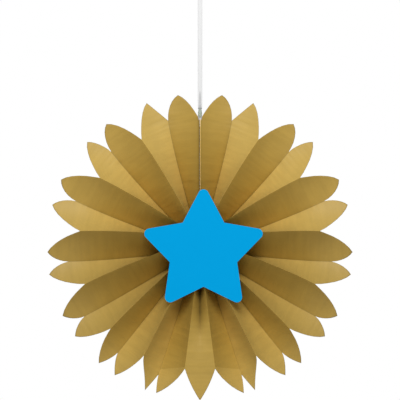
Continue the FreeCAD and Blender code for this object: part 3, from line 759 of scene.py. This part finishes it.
def shaded_clear_tape(grain):
    """Clear double-sided tape, coloured dark as painted shade deep in the seam."""
    made, w, shader = material("shaded_clear_tape")
    place = w.node("ShaderNodeTexCoord").outputs["Object"]
    film = place_group(w, grain, Place=place, Fibres_Per_Metre=900.0, Tone_Change=0.05)
    w.feed(shader.inputs["Base Color"], tinted(w, (0.13, 0.09, 0.03), film["Tone"]))
    w.feed(shader.inputs["Roughness"], 0.6)
    w.feed(shader.inputs["Specular IOR Level"], 0.1)
    return made


def pleated_half(paper):
    """The left half's panels, from the seam fold to the lapped petal's fold."""
    lines = bpy.data.meshes.new("fold_lines")
    points = [
        fold_point(fold, count * RUN_STEP)
        for fold in range(PANEL_COUNT + 1)
        for count in range(RUN_COUNT)
    ]
    lines.from_pydata(points, [], [])
    carried = {
        "notch": FOLD_NOTCHES,
        "tip_share": TIP_SHARES + TIP_SHARES[-1:],
        "tip_radius": TIP_RADII + TIP_RADII[-1:],
        "front_fullness": FRONT_FULLNESS + FRONT_FULLNESS[-1:],
        "back_fullness": BACK_FULLNESS + BACK_FULLNESS[-1:],
    }
    for name, by_fold in carried.items():
        values = lines.attributes.new(name, "FLOAT", "POINT").data
        for count, value in enumerate(values):
            value.value = by_fold[count // RUN_COUNT]
    half = link_object("pleated_half", lines)
    modifier = half.modifiers.new("pleats", "NODES")
    modifier.node_group = pleat_tree()
    set_inputs(modifier, Paper=paper)
    plain_mesh(half)
    return half


def cubic(poles, along):
    """The cubic with those four poles."""
    left = 1 - along
    weights = (left**3, 3 * left**2 * along, 3 * left * along**2, along**3)
    return sum(pole * weight for pole, weight in zip(poles, weights))


def lap_point(along, station):
    """A point of the lapped petal: along goes from its fold (0) to its middle (1)."""
    run = station * (MOUNTAIN_NOTCH + cubic(LAP_POLES_CUT, along) * (LAST_TIP_RADIUS - MOUNTAIN_NOTCH))
    trough = lap_share(run)
    across = cubic(LAP_POLES_ACROSS_WAIST, along) * trough + cubic(LAP_POLES_ACROSS_RIM, along) * (1 - trough)
    deep = cubic(LAP_POLES_DEPTH_WAIST, along) * trough + cubic(LAP_POLES_DEPTH_RIM, along) * (1 - trough)
    fold = fold_point(PANEL_COUNT, run)
    middle = lap_middle(run)
    level = fold.lerp(middle, deep)
    return Vector((fold.x * across, level.y, level.z)), run


def make_fan(paper):
    """The whole sheet: pleats, seam margins, lapped petal and pressed waist, given its thickness."""
    half = pleated_half(paper)
    mesh = half.data
    rows = STATIONS + 1
    columns = PANEL_COUNT * STEPS_ACROSS + 1
    sheet = bmesh.new()
    sheet.from_mesh(mesh)
    sheet.verts.ensure_lookup_table()
    paper_map = sheet.loops.layers.uv["paper"]
    edge_map = sheet.loops.layers.uv["edge"]

    def add_face(corners, places, from_cut=None):
        face = sheet.faces.new(corners)
        for count, (loop, place) in enumerate(zip(face.loops, places)):
            loop[paper_map].uv = place
            loop[edge_map].uv = (from_cut[count] if from_cut else TIP_RADIUS, 0)
        return face

    left = list(sheet.verts)

    # Seam margin, turned straight back from the seam fold
    margin = []
    for row in range(rows):
        run = row / STATIONS * SEAM_NOTCH
        margin.append(sheet.verts.new(left[row].co + flange_direction(run) * GLUE_FLANGE))
    for row in range(STATIONS):
        corners = (margin[row], left[row], left[row + 1], margin[row + 1])
        runs = [step / STATIONS * SEAM_NOTCH for step in (row, row, row + 1, row + 1)]
        places = [(across, run) for across, run in zip((-GLUE_FLANGE, 0, 0, -GLUE_FLANGE), runs)]
        add_face(corners, places)

    # Lapped petal
    edge = left[(columns - 1) * rows:columns * rows]
    lap_columns = [edge]
    start = PANEL_COUNT * PANEL_WIDTH
    for step in range(1, LAP_STEPS + 1):
        along = step / LAP_STEPS
        lap_columns.append([sheet.verts.new(lap_point(along, row / STATIONS)[0]) for row in range(rows)])
    for step in range(LAP_STEPS):
        first, second = lap_columns[step], lap_columns[step + 1]
        for row in range(STATIONS):
            corners = (first[row], second[row], second[row + 1], first[row + 1])
            spots = ((step, row), (step + 1, row), (step + 1, row + 1), (step, row + 1))
            runs = [lap_point(spot[0] / LAP_STEPS, spot[1] / STATIONS)[1] for spot in spots]
            cuts = [lap_point(spot[0] / LAP_STEPS, 1)[1] for spot in spots]
            places = [
                (start + spot[0] / LAP_STEPS * PANEL_WIDTH / 2, run)
                for spot, run in zip(spots, runs)
            ]
            add_face(corners, places, [cut - run for cut, run in zip(cuts, runs)])

    # Right half, mirrored, and the pressed layers between the halves
    waist = [margin[0]] + [left[column * rows] for column in range(columns)]
    waist += [column[0] for column in lap_columns[1:]]
    copied = bmesh.ops.duplicate(sheet, geom=sheet.verts[:] + sheet.edges[:] + sheet.faces[:])
    twin = {
        source: made for source, made in copied["vert_map"].items()
        if isinstance(source, bmesh.types.BMVert)
    }
    new_faces = [item for item in copied["geom"] if isinstance(item, bmesh.types.BMFace)]
    for item in copied["geom"]:
        if isinstance(item, bmesh.types.BMVert):
            item.co.x = -item.co.x
    bmesh.ops.reverse_faces(sheet, faces=new_faces)
    for place in range(len(waist) - 1):
        one, two = waist[place], waist[place + 1]
        if (one.co - two.co).length > 1e-7 and abs(one.co.x) > 1e-6:
            corners = [one, two, twin[two], twin[one]]
            corners = [corner for count, corner in enumerate(corners) if corner not in corners[:count]]
            add_face(corners, [(0, 0)] * len(corners))
    bmesh.ops.remove_doubles(sheet, verts=sheet.verts[:], dist=1e-6)
    bmesh.ops.recalc_face_normals(sheet, faces=sheet.faces[:])
    for face in sheet.faces:
        face.smooth = True
    sharp = math.radians(28)
    for joint in sheet.edges:
        joint.smooth = not (len(joint.link_faces) == 2 and joint.calc_face_angle(0) > sharp)
    sheet.to_mesh(mesh)
    sheet.free()

    half.name = "fan_paper"
    return thickened(half, SHEET_THICKNESS)


def smoothed(share):
    """A share that starts and ends softly."""
    share = min(max(share, 0), 1)
    return share * share * (3 - 2 * share)


def woven_piece(name, across_steps, along_steps, point_at, size, closed=False, shade_at=None):
    """A grid of points carried by point_at(across, along), both from 0 to 1.

    Its map "weave" is in metres, size across and along. "shade" is painted shade, darker where it is
    gathered, creased or wrapped.
    A closed piece goes round and has its two ends filled.
    """
    cloth = bmesh.new()
    weave = cloth.loops.layers.uv.new("weave")
    shade = cloth.verts.layers.float.new("shade")
    columns = across_steps if closed else across_steps + 1
    grid = []
    for column in range(columns):
        line = []
        for row in range(along_steps + 1):
            across, along = column / across_steps, row / along_steps
            spot = cloth.verts.new(point_at(across, along))
            spot[shade] = shade_at(across, along) if shade_at else 0
            line.append(spot)
        grid.append(line)
    for column in range(across_steps):
        after = (column + 1) % columns
        for row in range(along_steps):
            corners = (grid[column][row], grid[after][row], grid[after][row + 1], grid[column][row + 1])
            face = cloth.faces.new(corners)
            spots = ((column, row), (column + 1, row), (column + 1, row + 1), (column, row + 1))
            for loop, spot in zip(face.loops, spots):
                loop[weave].uv = (spot[0] / across_steps * size[0], spot[1] / along_steps * size[1])
            face.smooth = True
    if closed:
        for row in (0, along_steps):
            cloth.faces.new([line[row] for line in grid])
        bmesh.ops.recalc_face_normals(cloth, faces=cloth.faces[:])
    mesh = bpy.data.meshes.new(name)
    cloth.to_mesh(mesh)
    cloth.free()
    return link_object(name, mesh)


HOLE_Y = fold_point(0, EYE_HOLE_RUN).y + EYE_INSET
ROUTE = [(0, HOLE_Y, KNOT_TOP), (0, HOLE_Y, (KNOT_TOP + RIBBON_TOP) / 2), (0, HOLE_Y, RIBBON_TOP)]


def route_points(name, controls):
    """The points along a NURBS curve with those controls."""
    line = bpy.data.curves.new(name, "CURVE")
    line.dimensions = "3D"
    line.resolution_u = 24
    spline = line.splines.new("NURBS")
    spline.points.add(len(controls) - 1)
    for point, place in zip(spline.points, controls):
        point.co = (*place, 1)
    spline.order_u = 3
    spline.use_endpoint_u = True
    holder = link_object(name, line)
    graph = bpy.context.evaluated_depsgraph_get()
    graph.update()
    mesh = bpy.data.meshes.new_from_object(holder.evaluated_get(graph))
    points = [vert.co.copy() for vert in mesh.vertices]
    bpy.data.objects.remove(holder)
    bpy.data.curves.remove(line)
    bpy.data.meshes.remove(mesh)
    return points


def gathered(height):
    """0 where the ribbon is flat, 1 where it goes into the lower knot."""
    return smoothed((GATHER_FROM - height) / (GATHER_FROM - KNOT_TOP))


def make_ribbon_band(route):
    """The doubled ribbon, pulled straight, creased down its middle above the knot."""
    def point_at(across, along):
        place = route[round(along * (len(route) - 1))]
        side = 2 * across - 1
        tight = gathered(place.z)
        half = RIBBON_WIDTH / 2 * (1 - 0.12 * tight)
        curl = 0.00035 * side * side
        fold = 0.0016 * tight * (1 - abs(side)) - 0.0005 * tight
        return place + Vector((side * half, fold - curl, 0))

    # Painted shade down the crease in the band's middle, widening where the band closes into the knot.
    def shade_at(across, along):
        place = route[round(along * (len(route) - 1))]
        side = abs(2 * across - 1)
        spine = smoothed((GATHER_FROM - place.z) / SPINE_FADES_OVER) * max(1 - side / 0.36, 0) * SPINE_SHADE
        closing = smoothed((CLOSES_FROM - place.z) / CLOSES_OVER)
        reach = smoothed((closing * 1.25 - side) / 0.35) * 0.2
        return max(spine, reach)

    length = RIBBON_TOP - KNOT_TOP
    band = woven_piece("ribbon_band", 16, len(route) - 1, point_at, (RIBBON_WIDTH, length), shade_at=shade_at)
    return thickened(band, RIBBON_THICKNESS * 0.6)


def make_knot(name, low, high, half_width, half_depth):
    """A pulled ribbon knot: a rounded body with slanting wraps."""
    def point_at(around, along):
        angle = around * math.tau
        full = KNOT_NECK + (1 - KNOT_NECK) * math.sin(math.pi * min(max(along, 0.02), 0.98)) ** 0.6
        wraps = 0.09 * math.sin(2 * angle + along * WRAP_SLANT) ** 2
        ridges = 0.05 * math.cos(along * RIDGE_SLANT + angle)
        reach = full * (1 - wraps - ridges)
        return Vector((
            half_width * reach * math.cos(angle),
            HOLE_Y + half_depth * reach * math.sin(angle),
            low + (high - low) * along,
        ))

    # Painted shade in the grooves between the wraps.
    def shade_at(around, along):
        return 0.30 * math.sin(2 * around * math.tau + along * WRAP_SLANT) ** 8

    size = (math.tau * half_width, high - low)
    return woven_piece(name, 40, 28, point_at, size, closed=True, shade_at=shade_at)


def make_eye():
    """The ribbon's two gathered tails through the seam's hole, below the knot."""
    side, low, high = EYE_SIDE, EYE_HOLE_RUN, KNOT_LOW + 0.004
    controls = [
        (-side, HOLE_Y, high), (-side, HOLE_Y, (low + high) / 2), (-side, HOLE_Y, low),
        (side, HOLE_Y, low), (side, HOLE_Y, (low + high) / 2), (side, HOLE_Y, high),
    ]
    route = route_points("eye_route", controls)

    def point_at(around, along):
        count = round(along * (len(route) - 1))
        place = route[count]
        before, after = route[max(count - 1, 0)], route[min(count + 1, len(route) - 1)]
        forward = (after - before).normalized()
        sideways = forward.cross(Vector((0, 1, 0)))
        rise = smoothed((place.z - EYE_SPREADS_FROM) / EYE_SPREADS_OVER)
        angle = around * math.tau
        wide = EYE_HALF_WIDTH + EYE_SPREAD * rise
        pleat = 1 + 0.14 * math.sin(3 * angle)
        into_depth = Vector((0, wide * 0.8 * math.sin(angle), 0))
        return place + sideways * (wide * pleat * math.cos(angle)) + into_depth

    length = 2 * (high - low)
    return woven_piece("ribbon_eye", 16, len(route) - 1, point_at, (0.004, length), closed=True)


def make_loop():
    """The loop to hang the fan by: one layer of ribbon bent round to a point over its knot."""
    lean = math.asin(LOOP_RADIUS / LOOP_DROP)
    centre_z = RIBBON_TOP + LOOP_KNOT / 2 + LOOP_DROP
    straight = LOOP_DROP * math.cos(lean)
    bend = LOOP_RADIUS * (math.pi + 2 * lean)
    whole = 2 * straight + bend

    def point_at(across, along):
        gone = along * whole
        half = LOOP_RADIUS - RIBBON_THICKNESS / 4
        side = (across - 0.5) * RIBBON_WIDTH
        touch_y, touch_z = half * math.cos(lean), -half * math.sin(lean)
        if gone < straight:
            share = gone / straight
            y, z = touch_y * share, -LOOP_DROP + (touch_z + LOOP_DROP) * share
        elif gone > straight + bend:
            share = (whole - gone) / straight
            y, z = -touch_y * share, -LOOP_DROP + (touch_z + LOOP_DROP) * share
        else:
            angle = -lean + (gone - straight) / LOOP_RADIUS
            y, z = half * math.cos(angle), half * math.sin(angle)
        pinch = 1 - 0.35 * smoothed(1 - (z + LOOP_DROP) / 0.008)
        return Vector((side * pinch, HOLE_Y + y, centre_z + z))

    loop = woven_piece("ribbon_loop_band", 8, 96, point_at, (RIBBON_WIDTH, whole))
    return thickened(loop, RIBBON_THICKNESS / 2)


def wound_thread_tree():
    """Turns of thread side by side round a flat bundle, in layers, each wider by a thread."""
    tree = new_group("wound_thread", "GeometryNodeTree", [
        ("INPUT", "Geometry", "NodeSocketGeometry", None),
        ("INPUT", "Turns", "NodeSocketInt", THREAD_TURNS),
        ("INPUT", "Thread Radius", "NodeSocketFloat", THREAD_RADIUS),
        ("INPUT", "Around", "NodeSocketFloat", 0.046),
        ("INPUT", "Over", "NodeSocketFloat", 0.010),
        ("INPUT", "Tilt", "NodeSocketFloat", 0.0),
        ("INPUT", "Centre", "NodeSocketVector", None),
        ("INPUT", "Thread", "NodeSocketMaterial", None),
        ("OUTPUT", "Geometry", "NodeSocketGeometry", None),
    ])
    w = Wiring(tree)
    source = w.node("NodeGroupInput").outputs
    radius = source["Thread Radius"]
    pitch = w.times(radius, 2)
    joined = w.node("GeometryNodeJoinGeometry")
    for layer in range(THREAD_LAYERS):
        grown = w.times(radius, 2 + 4 * layer)
        outline = w.node("GeometryNodeCurvePrimitiveQuadrilateral", {
            "Width": w.calc("ADD", source["Over"], grown),
            "Height": w.calc("ADD", source["Around"], grown),
        }).outputs[0]
        rounded = w.node("GeometryNodeFilletCurve", {
            "Curve": outline, "Radius": w.times(radius, 2 + 2 * layer), "Count": 5,
        }, mode="POLY").outputs[0]
        profile = w.node("GeometryNodeCurvePrimitiveCircle", {"Resolution": 8, "Radius": radius}).outputs[0]
        turn = w.node("GeometryNodeCurveToMesh", {"Curve": rounded, "Profile Curve": profile}).outputs[0]
        upright = w.node("GeometryNodeTransform", {
            "Geometry": turn, "Rotation": (0, math.pi / 2, 0),
        }).outputs[0]
        across = w.times(pitch, w.times(w.calc("SUBTRACT", source["Turns"], 1), -0.5))
        start = w.node("ShaderNodeCombineXYZ", {"X": across}).outputs[0]
        step = w.node("ShaderNodeCombineXYZ", {"X": pitch}).outputs[0]
        row = w.node("GeometryNodeMeshLine", {
            "Count": source["Turns"], "Start Location": start, "Offset": step,
        }).outputs[0]
        turns = w.node("GeometryNodeInstanceOnPoints", {"Points": row, "Instance": upright}).outputs[0]
        w.feed(joined.inputs[0], turns)
    lean = w.node("ShaderNodeCombineXYZ", {"X": source["Tilt"]}).outputs[0]
    placed = w.node("GeometryNodeTransform", {
        "Geometry": joined.outputs[0], "Rotation": lean, "Translation": source["Centre"],
    }).outputs[0]
    realized = w.node("GeometryNodeRealizeInstances", {"Geometry": placed})
    smooth = w.node("GeometryNodeSetShadeSmooth", {"Geometry": realized.outputs[0]})
    painted = w.node("GeometryNodeSetMaterial", {"Geometry": smooth.outputs[0], "Material": source["Thread"]})
    end = w.node("NodeGroupOutput")
    w.feed(end.inputs[0], painted.outputs[0])
    return tree


def make_tie(thread):
    """The thread wound round the pressed waist."""
    tie = link_object("waist_thread", bpy.data.meshes.new("waist_thread"))
    modifier = tie.modifiers.new("turns", "NODES")
    modifier.node_group = wound_thread_tree()
    stack = (PANEL_COUNT + 1) * WAIST_PITCH + 2 * SHEET_THICKNESS + 2 * TIE_CLEARANCE
    around = PANEL_WIDTH + 2 * FOLD_NOSE + 2 * TIE_CLEARANCE
    centre = (0, MIDDLE_Y, WAIST_RISE)
    set_inputs(modifier, Around=around, Over=stack, Tilt=-WAIST_TILT, Centre=centre, Thread=thread)
    plain_mesh(tie)
    return tie


def make_pad(name, mirrored):
    """A foam pad between the front folds and the star, its corners softened."""
    low, high = PAD_LOW, PAD_HIGH
    if mirrored:
        low, high = Vector((-PAD_HIGH.x, low.y, low.z)), Vector((-PAD_LOW.x, high.y, high.z))
    block = bmesh.new()
    bmesh.ops.create_cube(block, size=1)
    for vert in block.verts:
        vert.co = Vector(low[axis] + (high[axis] - low[axis]) * (vert.co[axis] + 0.5) for axis in range(3))
    mesh = bpy.data.meshes.new(name)
    block.to_mesh(mesh)
    block.free()
    pad = link_object(name, mesh)
    rounding = pad.modifiers.new("soft_corners", "BEVEL")
    rounding.width = 0.0005
    rounding.segments = 3
    plain_mesh(pad)
    for face in pad.data.polygons:
        face.use_smooth = True
    return pad


def set_materials(thing, made):
    thing.data.materials.clear()
    thing.data.materials.append(made)


def make_world():
    """A white room to the eye, which lights the fan only softly."""
    world = bpy.data.worlds.new("studio")
    bpy.context.scene.world = world
    world.use_nodes = True
    world.node_tree.nodes.clear()
    w = Wiring(world.node_tree)
    path = w.node("ShaderNodeLightPath").outputs
    bounced = w.calc("MAXIMUM", path["Is Glossy Ray"], path["Is Transmission Ray"])
    seen = w.calc("MAXIMUM", path["Is Camera Ray"], bounced)
    soft = w.node("ShaderNodeBackground", {"Color": (1, 1, 1, 1), "Strength": 0.27})
    white = w.node("ShaderNodeBackground", {"Color": (1, 1, 1, 1), "Strength": 1.0})
    mix = w.node("ShaderNodeMixShader", {0: seen, 1: soft.outputs[0], 2: white.outputs[0]})
    output = w.node("ShaderNodeOutputWorld")
    w.feed(output.inputs["Surface"], mix.outputs[0])


def make_lamp(name, place, across, watts):
    """A round soft lamp that looks at the fan's middle."""
    light = bpy.data.lights.new(name, "AREA")
    light.shape = "DISK"
    light.size = across
    light.energy = watts
    lamp = link_object(name, light)
    lamp.location = place
    lamp.rotation_euler = (-Vector(place)).to_track_quat("-Z", "Y").to_euler()


def make_camera():
    """Straight on, with a long lens. The picture is 400 x 400 at the width that it takes in."""
    distance = 2.6
    picture_width = 0.5308
    centre = Vector((0, 0, 0.0624))
    lens = bpy.data.cameras.new("camera")
    lens.sensor_fit = "HORIZONTAL"
    lens.sensor_width = 36
    lens.lens = 36 * distance / picture_width
    lens.clip_end = 20
    camera = link_object("camera", lens)
    camera.location = centre - Vector((0, distance, 0))
    camera.rotation_euler = (math.radians(90), 0, 0)
    bpy.context.scene.camera = camera


def make_floor():
    """A pale floor below the fan, which is part of the stage only."""
    mesh = bpy.data.meshes.new("floor")
    ring = bmesh.new()
    bmesh.ops.create_circle(ring, cap_ends=True, segments=96, radius=0.9)
    ring.to_mesh(mesh)
    ring.free()
    floor = link_object("floor", mesh)
    floor.location = (0, 0, -0.62)
    made, w, shader = material("pale_floor")
    w.feed(shader.inputs["Base Color"], (0.85, 0.85, 0.85, 1))
    w.feed(shader.inputs["Roughness"], 0.9)
    set_materials(floor, made)


def finish_piece(piece, finish, slot_name, *nodes):
    """Gives a piece its material, and lets it ride in place of its CAD nodes."""
    set_materials(piece, finish)
    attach(piece, "root")
    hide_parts(*nodes)


scene = bpy.context.scene
scene.view_settings.view_transform = "Standard"
make_camera()
make_world()
make_lamp("key", place=(0, -1.72, 1.02), across=1.0, watts=28)
make_lamp("behind", place=(0, 1.8, 0.9), across=1.0, watts=14)
make_floor()

grain = fibre_grain()
line = worn_line()
weave = woven_threads()
pale_satin = satin("pale_satin", (0.80, 0.80, 0.80), weave)
# The lower knot and the tails through the hole are the white satin in darker, tinted colours: painted shade.
shaded_knot_satin = satin("shaded_knot_satin", (0.42, 0.48, 0.40), weave)
shaded_eye_satin = satin("shaded_eye_satin", (0.50, 0.47, 0.49), weave)

route = route_points("ribbon_route", ROUTE)
band = make_ribbon_band(route)
finish_piece(band, pale_satin, "ribbon", "hanging_ribbon")
knot = make_knot("ribbon_lower_knot", KNOT_LOW, KNOT_TOP, KNOT_HALF_WIDTH, KNOT_HALF_DEPTH)
finish_piece(knot, shaded_knot_satin, "ribbon", "ribbon_knot")
eye = make_eye()
finish_piece(eye, shaded_eye_satin, "ribbon", "ribbon_knot")
upper_knot = make_knot(
    "ribbon_upper_knot", RIBBON_TOP, RIBBON_TOP + LOOP_KNOT, LOOP_KNOT_HALF_WIDTH, KNOT_HALF_DEPTH,
)
finish_piece(upper_knot, pale_satin, "ribbon", "ribbon_loop")
loop = make_loop()
finish_piece(loop, pale_satin, "ribbon", "ribbon_loop")

paper = gold_paper(grain, line)
fan = make_fan(paper)
finish_piece(fan, paper, "gold_paper", "pleated_fan")

thread = wound_thread_finish(weave)
finish_piece(make_tie(thread), thread, "thread", "waist_tie")
cells = foam(grain)
for name, mirrored in (("star_pad_left", True), ("star_pad_right", False)):
    pad = make_pad("foam_" + name, mirrored)
    finish_piece(pad, cells, "foam", name)

set_materials(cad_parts["star"], blue_card(grain))
set_materials(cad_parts["seam_tape"], shaded_clear_tape(grain))
